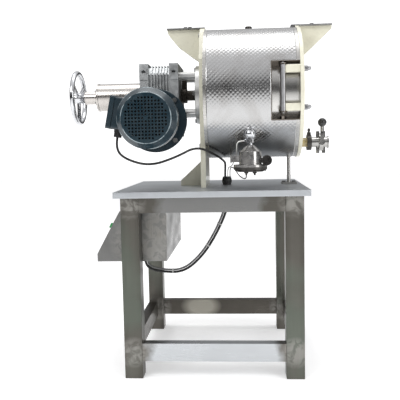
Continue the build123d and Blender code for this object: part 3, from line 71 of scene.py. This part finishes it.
# ---------------------------------------------------------------- material tools
class Shader:
    """A principled material whose colour, roughness and bump are built from noise."""

    def __init__(self, name, colour, metallic=0.0, roughness=0.5, **sockets):
        self.material = bpy.data.materials.new(name)
        self.material.use_nodes = True
        self.material.diffuse_color = (*colour, 1.0)
        self.tree = self.material.node_tree
        self.shader = self.tree.nodes["Principled BSDF"]
        self.shader.inputs["Metallic"].default_value = metallic
        self.shader.inputs["Roughness"].default_value = roughness
        self.shader.inputs["Base Color"].default_value = (*colour, 1.0)
        for socket, value in sockets.items():
            self.shader.inputs[socket.replace("_", " ")].default_value = value
        self.place = self.node("ShaderNodeTexCoord").outputs["Object"]
        self.colour = None
        self.base = colour
        self.height = None

    def node(self, kind, **settings):
        made = self.tree.nodes.new(kind)
        for key, value in settings.items():
            setattr(made, key, value)
        return made

    def link(self, a, b):
        self.tree.links.new(a, b)

    def noise(self, scale, stretch=(1, 1, 1), detail=3.0, distortion=0.0):
        mapping = self.node("ShaderNodeMapping")
        mapping.inputs["Scale"].default_value = stretch
        self.link(self.place, mapping.inputs["Vector"])
        noise = self.node("ShaderNodeTexNoise")
        noise.inputs["Scale"].default_value = scale
        noise.inputs["Detail"].default_value = detail
        noise.inputs["Distortion"].default_value = distortion
        self.link(mapping.outputs["Vector"], noise.inputs["Vector"])
        return noise.outputs["Fac"]

    def remap(self, value, low, high, to_low, to_high):
        change = self.node("ShaderNodeMapRange")
        for socket, number in zip(("From Min", "From Max", "To Min", "To Max"),
                                  (low, high, to_low, to_high)):
            change.inputs[socket].default_value = number
        self.link(value, change.inputs["Value"])
        return change.outputs["Result"]

    def math(self, operation, a, b=0.0):
        made = self.node("ShaderNodeMath", operation=operation)
        for socket, value in zip(made.inputs, (a, b)):
            if isinstance(value, (int, float)):
                socket.default_value = value
            else:
                self.link(value, socket)
        return made.outputs["Value"]

    def axis(self, name):
        if not hasattr(self, "parts"):
            self.parts = self.node("ShaderNodeSeparateXYZ")
            self.link(self.place, self.parts.inputs["Vector"])
        return self.parts.outputs[name]

    def near(self, centre, reach, mirror=(False, False, False)):
        """1 at a centre, falling to 0 at the reach in each direction; mirrored about 0 if asked."""
        total = None
        for name, middle, size, both in zip("XYZ", centre, reach, mirror):
            value = self.axis(name)
            if both:
                value = self.math("ABSOLUTE", value)
            value = self.math("SUBTRACT", value, middle)
            value = self.math("DIVIDE", value, size)
            value = self.math("MULTIPLY", value, value)
            total = value if total is None else self.math("ADD", total, value)
        return self.remap(self.math("SQRT", total), 0.55, 1.0, 1.0, 0.0)

    def tint(self, mask, colour, amount=1.0):
        """Blend the colour so far towards another one where the mask is high."""
        mix = self.node("ShaderNodeMix", data_type="RGBA")
        if self.colour is None:
            mix.inputs[6].default_value = (*self.base, 1.0)
        else:
            self.link(self.colour, mix.inputs[6])
        mix.inputs[7].default_value = (*colour, 1.0)
        self.link(self.math("MULTIPLY", mask, amount), mix.inputs["Factor"])
        self.colour = mix.outputs[2]
        self.link(self.colour, self.shader.inputs["Base Color"])
        return self

    def rough(self, value):
        self.link(value, self.shader.inputs["Roughness"])
        return self

    def bump(self, height, distance, strength=1.0):
        bump = self.node("ShaderNodeBump")
        bump.inputs["Distance"].default_value = distance
        bump.inputs["Strength"].default_value = strength
        self.link(height, bump.inputs["Height"])
        if self.height is not None:
            self.link(self.height, bump.inputs["Normal"])
        self.height = bump.outputs["Normal"]
        self.link(self.height, self.shader.inputs["Normal"])
        return self

    def soften(self, radius):
        """Round the look of sharp edges."""
        bevel = self.node("ShaderNodeBevel", samples=4)
        bevel.inputs["Radius"].default_value = radius
        self.height = bevel.outputs["Normal"]
        self.link(self.height, self.shader.inputs["Normal"])
        return self


def brushed(name, colour, grain, roughness=0.32, patches=(), extra=None):
    """Brushed stainless sheet or tube. Grain is the noise stretch: small along the brushing."""
    m = Shader(name, colour, 1.0, roughness)
    m.soften(0.0012)
    lines = m.noise(1.0, grain, 4.0)
    cloud = m.noise(5.0, detail=4.0, distortion=0.6)
    smear = m.noise(26.0, detail=5.0, distortion=1.4)
    m.tint(m.remap(cloud, 0.35, 0.7, 0.0, 1.0), tuple(0.72 * c for c in colour))
    m.tint(m.remap(lines, 0.35, 0.65, 0.0, 1.0), tuple(0.86 * c for c in colour), 0.7)
    value = m.math("ADD", m.remap(lines, 0.3, 0.7, -0.06, 0.08),
                   m.remap(cloud, 0.3, 0.7, roughness - 0.05, roughness + 0.08))
    if extra is not None:
        extra(m)
    for centre, reach, mirror in patches:
        mask = m.math("MULTIPLY", m.near(centre, reach, mirror), m.remap(smear, 0.40, 0.56, 0.2, 1.0))
        m.tint(mask, (0.40, 0.39, 0.365), 0.7)
        value = m.math("ADD", value, m.math("MULTIPLY", mask, 0.22))
    m.rough(value)
    m.bump(lines, 0.00012, 0.35)
    return m.material


def polished(name, colour=(0.70, 0.71, 0.73), roughness=0.10):
    """Bright metal with fingermarks and fine scratches."""
    m = Shader(name, colour, 1.0, roughness)
    m.soften(0.0006)
    marks = m.noise(45.0, detail=5.0)
    m.rough(m.remap(marks, 0.35, 0.7, roughness, roughness + 0.14))
    m.tint(m.remap(m.noise(14.0), 0.4, 0.7, 0.0, 1.0), tuple(0.70 * c for c in colour))
    m.bump(m.noise(260.0), 0.00004, 0.3)
    return m.material


def cast(name, colour, metallic, roughness, grit=900.0, depth=0.00025):
    """Cast or plated metal with a grainy skin and darker hollows."""
    m = Shader(name, colour, metallic, roughness)
    m.soften(0.0010)
    m.tint(m.remap(m.noise(22.0, detail=5.0), 0.42, 0.68, 0.0, 1.0), tuple(0.62 * c for c in colour))
    m.rough(m.remap(m.noise(60.0), 0.3, 0.7, roughness - 0.08, roughness + 0.12))
    m.bump(m.noise(grit), depth, 0.5)
    return m.material


def painted(name, colour, roughness=0.22, dirt=(0.45, 0.42, 0.33), amount=0.35, coat=0.4):
    """Gloss paint with orange peel, faint stains and a little grime."""
    m = Shader(name, colour, 0.0, roughness, Coat_Weight=coat, Coat_Roughness=0.08)
    m.soften(0.0010)
    m.tint(m.remap(m.noise(7.0, detail=5.0, distortion=0.8), 0.52, 0.78, 0.0, 1.0), dirt, amount)
    m.tint(m.remap(m.noise(70.0, detail=4.0), 0.60, 0.76, 0.0, 1.0), dirt, amount * 0.6)
    m.rough(m.remap(m.noise(30.0), 0.3, 0.7, roughness - 0.05, roughness + 0.10))
    m.bump(m.noise(380.0, detail=1.0), 0.00012, 0.25)
    return m.material


def moulded(name, colour, roughness=0.45, grit=1400.0):
    """Moulded plastic or rubber with a fine skin and dust."""
    m = Shader(name, colour, 0.0, roughness)
    m.soften(0.0008)
    dust = tuple(min(1.0, c + 0.06) for c in colour)
    m.tint(m.remap(m.noise(40.0, detail=5.0), 0.45, 0.75, 0.0, 1.0), dust, 0.8)
    m.rough(m.remap(m.noise(90.0), 0.3, 0.7, roughness - 0.08, roughness + 0.12))
    m.bump(m.noise(grit), 0.00008, 0.4)
    return m.material


# ---------------------------------------------------------------- places read from the frame
legs_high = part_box("table_legs")[1]
jacket_low, jacket_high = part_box("drum_jacket")
AXIS_Z = (jacket_low.z + jacket_high.z) / 2
DRUM_R = (jacket_high.z - jacket_low.z) / 2
LEG = 0.068              # square table leg
leg_x = legs_high.x - LEG / 2
leg_y = legs_high.y - LEG / 2

STEEL = (0.155, 0.147, 0.130)
rails_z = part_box("top_rails")
stretch_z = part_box("stretchers")
joint_patches = [
    ((leg_x, leg_y, (rails_z[0].z + rails_z[1].z) / 2), (0.075, 0.075, 0.075), (True, True, False)),
    ((leg_x, leg_y, (stretch_z[0].z + stretch_z[1].z) / 2), (0.075, 0.075, 0.07), (True, True, False)),
]


def shade_leg(m):
    """Painted shade darkening each leg towards its edges, and a faint green cast down each leg."""
    off = m.math("SUBTRACT", m.math("ABSOLUTE", m.axis("X")), leg_x)
    m.tint(m.remap(m.math("ABSOLUTE", off), 0.18 * LEG, 0.50 * LEG, 0.0, 1.0), (0.085, 0.080, 0.070), 0.65)
    m.tint(m.remap(m.noise(1.0, (4, 4, 3)), 0.48, 0.62, 0.0, 1.0), (0.13, 0.15, 0.125), 0.7)


def paint_front_highlight(m, low, amount):
    """Painted highlight on the middle of the front member, and a pale spot on the back one."""
    front = m.remap(m.axis("Y"), -0.25, -0.27, 0.0, 1.0)
    edge = m.math("ADD", m.math("ABSOLUTE", m.axis("X")), m.math("MULTIPLY", m.noise(16.0), 0.10))
    middle = m.remap(edge, low + 0.04, low, 0.0, 1.0)
    m.tint(m.math("MULTIPLY", front, middle), (0.56, 0.58, 0.60), amount)
    m.tint(m.near((-0.09, leg_y, stretch_z[1].z - 0.03), (0.10, 0.08, 0.06)), (0.46, 0.44, 0.38), 0.8)


steel_upright = brushed("steel_upright", STEEL, (420, 420, 6), 0.34, joint_patches, shade_leg)
steel_rail = brushed("steel_rail", STEEL, (6, 6, 420), 0.34, joint_patches,
                     lambda m: paint_front_highlight(m, 0.22, 0.30))
steel_stretcher = brushed("steel_stretcher", (0.13, 0.12, 0.105), (6, 6, 420), 0.30, joint_patches,
                          lambda m: paint_front_highlight(m, 0.27, 0.90))
steel_top = brushed("steel_top", (0.70, 0.73, 0.76), (5, 420, 60), 0.36)
steel_plain = brushed("steel_plain", (0.56, 0.55, 0.53), (12, 300, 300), 0.26)
box_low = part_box("box_shell")[0]
NO_MIRROR = (False, False, False)
box_patches = [((box_low.x + 0.18, box_low.y, box_low.z + 0.07), (0.14, 0.05, 0.11), NO_MIRROR),
               ((box_low.x + 0.24, box_low.y, box_low.z + 0.14), (0.07, 0.05, 0.07), NO_MIRROR)]
steel_box = brushed("steel_box", (0.22, 0.22, 0.215), (420, 6, 20), 0.30, box_patches)
# Painted shade: the hinge pocket's walls get a dark brown steel standing for the shade inside the recess.
pocket_steel_painted_shade = brushed("pocket_steel_painted_shade", (0.20, 0.175, 0.15), (200, 200, 8), 0.30)
liner_shader = Shader("liner_steel", (0.60, 0.59, 0.57), 1.0, 0.22)
liner_shader.bump(liner_shader.noise(1.0, (300, 8, 8)), 0.0001, 0.3)
liner_steel = liner_shader.material
steel_tube = brushed("steel_tube", (0.60, 0.57, 0.54), (300, 8, 8), 0.22)
chrome = polished("chrome")
bright = polished("bright_steel", (0.46, 0.455, 0.44), 0.16)


def dark_spot(shader, centre, reach, colour):
    """Darken one small region of a shader's colour."""
    shader.tint(shader.near(centre, reach), colour, 0.95)
    return shader.material


pot_shader = Shader("pot_steel", (0.56, 0.55, 0.54), 1.0, 0.14)
pot_shader.soften(0.0008)
pot_shader.tint(pot_shader.remap(pot_shader.noise(18.0), 0.4, 0.7, 0.0, 1.0), (0.34, 0.33, 0.31))
pot_shader.rough(pot_shader.remap(pot_shader.noise(50.0), 0.35, 0.7, 0.12, 0.26))
pot_shader.bump(pot_shader.noise(1.0, (6, 6, 500)), 0.00008, 0.3)
pot_low, pot_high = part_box("heater_pot")
# Painted shade: a near-black spot standing for the dark opening of the drain port at the pot's lower front.
pot_steel = dark_spot(pot_shader, (pot_high.x - 0.020, pot_low.y, pot_low.z + 0.024),
                      (0.034, 0.160, 0.034), (0.05, 0.047, 0.045))
zinc = cast("zinc_plate", (0.42, 0.42, 0.43), 1.0, 0.38, 700.0, 0.0001)
strip_shader = Shader("fastener_steel", (0.30, 0.30, 0.30), 1.0, 0.34)
strip_shader.tint(strip_shader.remap(strip_shader.noise(30.0), 0.4, 0.7, 0.0, 1.0), (0.16, 0.16, 0.155))
strip_shader.bump(strip_shader.noise(600.0), 0.0001, 0.4)
PLUG_X = 0.148
fastener_steel = dark_spot(strip_shader, (PLUG_X, 0.0, jacket_high.z + 0.006), (0.03, 0.03, 0.03),
                           (0.06, 0.055, 0.05))
dark_steel = cast("dark_steel", (0.055, 0.048, 0.042), 0.9, 0.42, 500.0, 0.0002)
iron_band = cast("clamp_casting", (0.10, 0.095, 0.09), 1.0, 0.40, 600.0, 0.0002)
aluminium = cast("cast_aluminium", (0.50, 0.515, 0.52), 1.0, 0.40)
machined = brushed("machined_aluminium", (0.66, 0.66, 0.65), (4, 260, 260), 0.30)
bronze = cast("bronze", (0.50, 0.31, 0.12), 1.0, 0.34)
cream = painted("cream_paint", (0.76, 0.74, 0.61), 0.30)
tan = painted("tan_paint", (0.48, 0.39, 0.19), 0.30, (0.25, 0.19, 0.10))
TEAL = (0.0035, 0.018, 0.028)
teal = painted("motor_paint", TEAL, 0.36, (0.015, 0.035, 0.045), 0.45, 0.15)
cowl_low, cowl_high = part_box("fan_cowl")
COWL_R = (cowl_high.z - cowl_low.z) / 2
FACE_R = COWL_R - 0.020
COWL_TAPER = 0.030
cowl_x = cowl_high.x - COWL_R
cowl_z = (cowl_low.z + cowl_high.z) / 2
cowl_shader = Shader("cowl_paint", TEAL, 0.0, 0.34, Coat_Weight=0.2, Coat_Roughness=0.1)
cowl_shader.soften(0.0010)
cowl_shader.tint(cowl_shader.remap(cowl_shader.noise(9.0), 0.5, 0.75, 0.0, 1.0), (0.015, 0.035, 0.045), 0.6)
along = cowl_shader.math("SUBTRACT", cowl_shader.axis("X"), cowl_x)
above = cowl_shader.math("SUBTRACT", cowl_shader.axis("Z"), cowl_z)
reach = cowl_shader.math("SQRT", cowl_shader.math(
    "ADD", cowl_shader.math("MULTIPLY", along, along), cowl_shader.math("MULTIPLY", above, above)))
# Painted highlight: a thin pale band along the cowl's outer rim and the edge of its face, broken up by
# noise.
highlight_breakup = cowl_shader.remap(cowl_shader.noise(24.0, detail=5.0), 0.44, 0.56, 0.0, 1.0)
for edge, edge_y in ((COWL_R - 0.0006, cowl_low.y + COWL_TAPER), (FACE_R, cowl_low.y)):
    back = cowl_shader.math("ABSOLUTE", cowl_shader.math("SUBTRACT", cowl_shader.axis("Y"), edge_y))
    off_edge = cowl_shader.math("ABSOLUTE", cowl_shader.math("SUBTRACT", reach, edge))
    rim_highlight = cowl_shader.math("MULTIPLY", highlight_breakup, cowl_shader.remap(off_edge, 0.0008, 0.0020, 1.0, 0.0))
    rim_highlight = cowl_shader.math("MULTIPLY", rim_highlight, cowl_shader.remap(back, 0.0015, 0.0035, 1.0, 0.0))
    cowl_shader.tint(rim_highlight, (0.42, 0.50, 0.53), 0.8)
cowl_shader.rough(cowl_shader.remap(cowl_shader.noise(40.0), 0.3, 0.7, 0.26, 0.42))
cowl_shader.bump(cowl_shader.noise(380.0, detail=1.0), 0.0001, 0.25)
cowl_paint = cowl_shader.material
black_rubber = moulded("black_rubber", (0.012, 0.012, 0.012), 0.50)
black_gloss = moulded("black_knob", (0.008, 0.008, 0.008), 0.12, 200.0)
grey_rubber = moulded("grey_rubber", (0.16, 0.16, 0.16), 0.5)
white_rubber = moulded("white_rubber", (0.88, 0.88, 0.84), 0.42)
clear_tie = moulded("tie_plastic", (0.60, 0.60, 0.58), 0.35)
grey_plastic = moulded("grey_plastic", (0.16, 0.165, 0.17), 0.45)
green_plastic = moulded("green_button", (0.02, 0.28, 0.07), 0.28)
red_plastic = moulded("red_button", (0.45, 0.015, 0.012), 0.28)

finish_of = {
    "table_top": steel_top, "table_legs": steel_upright, "top_rails": steel_rail,
    "stretchers": steel_stretcher, "stand_plate": cream, "fasteners": fastener_steel,
    "bearing_flange": machined,
    "shaft_bearings": dark_steel, "drum_liner": liner_steel, "drum_back": bright,
    "drum_rings": steel_plain, "drum_jacket": bright, "hinge_pocket": pocket_steel_painted_shade,
    "hinge_pin": chrome, "door_plate": cream,
    "door_gasket": black_rubber, "door_strip": zinc, "hinge_arms": cream,
    "clamp_knob_1": chrome, "clamp_knob_2": chrome, "spout": tan, "valve_body": bright,
    "spout_clamp": iron_band, "valve_lever": bright, "lever_ball": black_gloss,
    "jacket_elbow": chrome, "heater_pot": pot_steel, "heater_cover": iron_band,
    "support_post": steel_plain, "gearbox_housing": aluminium,
    "spacer_studs": machined, "worm_wheel": bronze, "worm_shaft": dark_steel,
    "motor_frame": teal, "terminal_box": teal, "fan_cowl": cowl_paint, "fan": black_rubber,
    "cable_glands": black_rubber, "adjust_tube": steel_tube,
    "handwheel": chrome, "adjust_screw": bright, "thrust_block": bronze,
    "main_shaft": dark_steel, "rotor_hubs": bright, "push_rod": bright, "blade_1": steel_plain,
    "blade_2": steel_plain, "blade_3": steel_plain, "box_shell": steel_box,
    "box_panel": steel_plain, "start_button": green_plastic, "stop_button": red_plastic,
    "emergency_stop": red_plastic, "box_switchgear": grey_plastic, "motor_cable": black_rubber,
    "sensor_cable": white_rubber, "heater_cable": black_rubber, "harness_1": black_rubber,
    "harness_2": grey_rubber,
    "cable_ties": clear_tie,
}
for name, material in finish_of.items():
    mesh = nodes[name].data
    mesh.materials.clear()
    mesh.materials.append(material)


def piece(name, mesh, body, material):
    """Put a mesh or curve in the scene as a piece of the object."""
    made = bpy.data.objects.new(name, mesh)
    scene.collection.objects.link(made)
    if material is not None:
        mesh.materials.append(material)
    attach(made, body)
    return made


# ---------------------------------------------------------------- cables
def cable(name, node, points, radius, material):
    curve = bpy.data.curves.new(name, "CURVE")
    curve.dimensions = "3D"
    curve.bevel_depth = radius * MM
    curve.bevel_resolution = 4
    curve.resolution_u = 24
    curve.use_fill_caps = True
    spline = curve.splines.new("NURBS")
    spline.points.add(len(points) - 1)
    for target, (x, y, z) in zip(spline.points, points):
        target.co = (x * MM, y * MM, z * MM, 1.0)
    spline.order_u = 3
    spline.use_endpoint_u = True
    made = piece(name, curve, "base", material)
    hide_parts(node)
    return made


cable("motor_lead", "motor_cable", [
    (-353.5, -266, 905.3), (-361.4, -266, 866.1), (-333.5, -262, 825.3), (-237.5, -255, 794.3),
    (-137.5, -232, 825.3), (-58, -187.4, 867.9), (20, -114.5, 824.9), (41, -50.5, 803.6),
    (45, -14, 794), (44, 6, 772), (43, 12, 752), (43, 12, 736)],
    4.5, black_rubber)
cable("sensor_lead", "sensor_cable", [
    (122, -215.9, 883.1), (104, -215.9, 883.1), (94.3, -206.9, 872.2), (94.5, -185.6, 847.5),
    (91.6, -149.7, 820), (79.6, -102.5, 796.6), (70, -51.7, 780.2), (60.5, -19.3, 778.6),
    (54, 8, 766), (54, 8, 736)],
    2.0, white_rubber)
cable("heater_lead", "heater_cable", [
    (130, -215.9, 751.9), (130, -215.9, 738.9), (116, -190.1, 738), (96.9, -145.9, 754.1),
    (88.5, -96, 768), (77.8, -40.2, 776.5), (66, 0.2, 774.9), (63, 24, 762), (63, 24, 736)],
    2.0, black_rubber)
cable("box_lead_1", "harness_1", [
    (55, 18, 672), (55, 18, 639.5), (42.8, 14.6, 581.2), (-1.6, 7.1, 487.8), (-59.7, -1.9, 400.5),
    (-138.7, -5.9, 334.4), (-230.6, -4.4, 336.2), (-285.5, -1.1, 348.6), (-305, 0, 376.4),
    (-305, 0, 411)],
    5.0, black_rubber)
cable("box_lead_2", "harness_2", [
    (45, 18, 672), (45, 18, 640.5), (33.2, 14.6, 584.4), (-10.4, 7.1, 492.7), (-67.3, -1.9, 407.2),
    (-142.3, -5.9, 344.5), (-229.4, -4.4, 346.2), (-279.5, -1.1, 357.5), (-295, 0, 379.6),
    (-295, 0, 411)],
    4.0, grey_rubber)

# ---------------------------------------------------------------- dimpled drum jacket
DIMPLE_PITCH = 17.0 * MM
DIMPLE_ROUND = 96        # dimple rows around the drum
DIMPLE_DEPTH = 1.25 * MM
DIMPLE_STEPS = 5
JACKET_T = 2.0 * MM
POCKET_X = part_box("hinge_pocket")[0].x
POCKET_UP, POCKET_DOWN = radians(23.0), radians(27.0)


def smooth_mesh(name, verts, faces):
    mesh = bpy.data.meshes.new(name)
    mesh.from_pydata(verts, [], faces)
    mesh.validate()
    for polygon in mesh.polygons:
        polygon.use_smooth = True
    return mesh


def thicken(outer, inner, faces):
    """Close a one-sided skin with its inner side and a strip along every free edge."""
    count = len(outer)
    closed = list(faces) + [tuple(count + v for v in reversed(face)) for face in faces]
    edges = {}
    for face in faces:
        for a, b in zip(face, face[1:] + face[:1]):
            edges[(a, b)] = True
    for a, b in edges:
        if (b, a) not in edges:
            closed.append((b, a, count + a, count + b))
    return list(outer) + list(inner), closed


def dimpled_jacket():
    """The jacket's skin with staggered dimples outside, open at the hinge pocket."""
    x0, x1 = jacket_low.x, jacket_high.x
    columns = int((x1 - x0) / DIMPLE_PITCH) * DIMPLE_STEPS
    rows = DIMPLE_ROUND * DIMPLE_STEPS
    xs = [x0 + (x1 - x0) * i / columns for i in range(columns + 1)]
    pocket_column = min(range(columns + 1), key=lambda i: abs(xs[i] - POCKET_X))
    xs[pocket_column] = POCKET_X
    first = -round(rows * POCKET_DOWN / (2 * pi))
    last = round(rows * POCKET_UP / (2 * pi))
    angles = [2 * pi * j / rows for j in range(rows)]
    angles[first % rows] = -POCKET_DOWN
    angles[last] = POCKET_UP
    verts, inside, faces = [], [], []
    for j, angle in enumerate(angles):
        v = j / DIMPLE_STEPS
        for x in xs:
            u = (x - x0) / DIMPLE_PITCH
            dip = (cos(pi * (u + v)) * cos(pi * (u - v))) ** 2
            rim = min(1.0, (x - x0) / (8 * MM), (x1 - x) / (8 * MM))
            radius = DRUM_R - DIMPLE_DEPTH * dip * rim
            verts.append((x, -radius * cos(angle), AXIS_Z + radius * sin(angle)))
            radius -= JACKET_T
            inside.append((x, -radius * cos(angle), AXIS_Z + radius * sin(angle)))
    width = len(xs)
    for j in range(rows):
        in_pocket = j < last or j >= rows + first
        for i in range(width - 1):
            if in_pocket and i >= pocket_column:
                continue
            a, b = j * width + i, ((j + 1) % rows) * width + i
            faces.append((a, a + 1, b + 1, b))
    verts, faces = thicken(verts, inside, faces)
    used = sorted({v for face in faces for v in face})
    renumber = {old: new for new, old in enumerate(used)}
    faces = [tuple(renumber[v] for v in face) for face in faces]
    return smooth_mesh("dimpled_jacket", [verts[v] for v in used], faces)


jacket_metal = Shader("dimpled_steel", (0.50, 0.50, 0.50), 1.0, 0.24)
jacket_metal.rough(jacket_metal.remap(jacket_metal.noise(30.0, detail=5.0), 0.3, 0.7, 0.19, 0.27))
jacket_metal.tint(jacket_metal.remap(jacket_metal.noise(9.0, detail=4.0, distortion=1.0), 0.45, 0.75,
                                     0.0, 1.0), (0.40, 0.39, 0.38))
jacket_metal.bump(jacket_metal.noise(500.0), 0.00005, 0.4)
jacket = piece("dimpled_jacket", dimpled_jacket(), "base", jacket_metal.material)
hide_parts("drum_jacket")


# ---------------------------------------------------------------- turned details
def turned(name, profile, centre, axis, segments=48, ribs=0, rib_depth=0.0):
    """Ring turned from a closed (radius, height) outline, its outer side ribbed if asked."""
    inmost = min(radius for radius, height in profile)
    axis = Vector(axis).normalized()
    side = axis.orthogonal().normalized()
    other = axis.cross(side)
    verts, faces = [], []
    for radius, height in profile:
        for k in range(segments):
            angle = 2 * pi * k / segments
            reach = radius
            if radius > inmost:
                reach -= rib_depth * (0.5 + 0.5 * cos(ribs * angle))
            spot = Vector(centre) + axis * height + (side * cos(angle) + other * sin(angle)) * reach
            verts.append(tuple(spot))
    for row in range(len(profile)):
        above = (row + 1) % len(profile) * segments
        for k in range(segments):
            after = (k + 1) % segments
            faces.append((row * segments + k, row * segments + after, above + after, above + k))
    return smooth_mesh(name, verts, faces)


GLAND_R = 17.5 * MM
GLAND_AT = (0.050, 0.018, 0.709)
gland_profile = [(GLAND_R + 0.0002, 0.0), (GLAND_R + 0.0030, 0.002), (GLAND_R + 0.0034, 0.012),
                 (GLAND_R + 0.0020, 0.019), (GLAND_R + 0.0002, 0.022)]
piece("gland_grip_ring", turned("gland_grip_ring", gland_profile, GLAND_AT, (0, 0, 1), 96, 16, 0.0012),
      "base", black_rubber)

# ---------------------------------------------------------------- floor and light
FLOOR_SIZE = 30.0
FLOOR_GLOW = 0.35        # keeps the floor as pale as the background
floor_mesh = bpy.data.meshes.new("floor")
half = FLOOR_SIZE / 2
floor_mesh.from_pydata([(-half, -half, 0), (half, -half, 0), (half, half, 0), (-half, half, 0)], [],
                       [(0, 1, 2, 3)])
floor = bpy.data.objects.new("floor", floor_mesh)
scene.collection.objects.link(floor)
floor_paint = Shader("floor_paint", (0.93, 0.93, 0.93), 0.0, 0.75)
floor_paint.bump(floor_paint.noise(60.0), 0.0002, 0.1)
floor_paint.shader.inputs["Emission Color"].default_value = (1.0, 1.0, 1.0, 1.0)
floor_paint.shader.inputs["Emission Strength"].default_value = FLOOR_GLOW
floor_mesh.materials.append(floor_paint.material)

world = bpy.data.worlds.new("studio")
scene.world = world
world.use_nodes = True
tree = world.node_tree
background = tree.nodes["Background"]
coordinates = tree.nodes.new("ShaderNodeTexCoord")
split = tree.nodes.new("ShaderNodeSeparateXYZ")
ramp = tree.nodes.new("ShaderNodeValToRGB")
shift = tree.nodes.new("ShaderNodeMapRange")
shift.inputs["From Min"].default_value = -1.0
shift.inputs["From Max"].default_value = 1.0
tree.links.new(coordinates.outputs["Generated"], split.inputs["Vector"])
tree.links.new(split.outputs["Z"], shift.inputs["Value"])
tree.links.new(shift.outputs["Result"], ramp.inputs["Fac"])
stops = ((0.0, 0.45), (0.45, 0.30), (0.50, 0.05), (0.60, 0.07), (0.72, 0.60), (1.0, 1.0))
while len(ramp.color_ramp.elements) < len(stops):
    ramp.color_ramp.elements.new(0.5)
for element, (position, value) in zip(ramp.color_ramp.elements, stops):
    element.position = position
    element.color = (value, value, value * 1.01, 1.0)
seen = tree.nodes.new("ShaderNodeLightPath")
white = tree.nodes.new("ShaderNodeMix")
white.data_type = "RGBA"
tree.links.new(seen.outputs["Is Camera Ray"], white.inputs["Factor"])
tree.links.new(ramp.outputs["Color"], white.inputs[6])
white.inputs[7].default_value = (1.35, 1.35, 1.36, 1.0)
tree.links.new(white.outputs[2], background.inputs["Color"])
background.inputs["Strength"].default_value = 1.0


def area(name, place, aim, size, power, colour=(1, 1, 1)):
    light = bpy.data.lights.new(name, "AREA")
    light.shape = "RECTANGLE"
    light.size, light.size_y = size
    light.energy = power
    light.color = colour
    lamp = bpy.data.objects.new(name, light)
    lamp.location = place
    lamp.rotation_euler = (Vector(aim) - Vector(place)).to_track_quat("-Z", "Y").to_euler()
    scene.collection.objects.link(lamp)
    return lamp


area("key_light", (-1.9, -2.6, 2.9), (0.0, 0.0, 0.9), (1.8, 1.2), 46)
area("fill_light", (2.4, -2.2, 1.6), (0.1, 0.0, 0.8), (1.2, 1.8), 28)
area("top_light", (0.0, 0.2, 3.4), (0.0, 0.0, 1.0), (2.6, 1.6), 30)

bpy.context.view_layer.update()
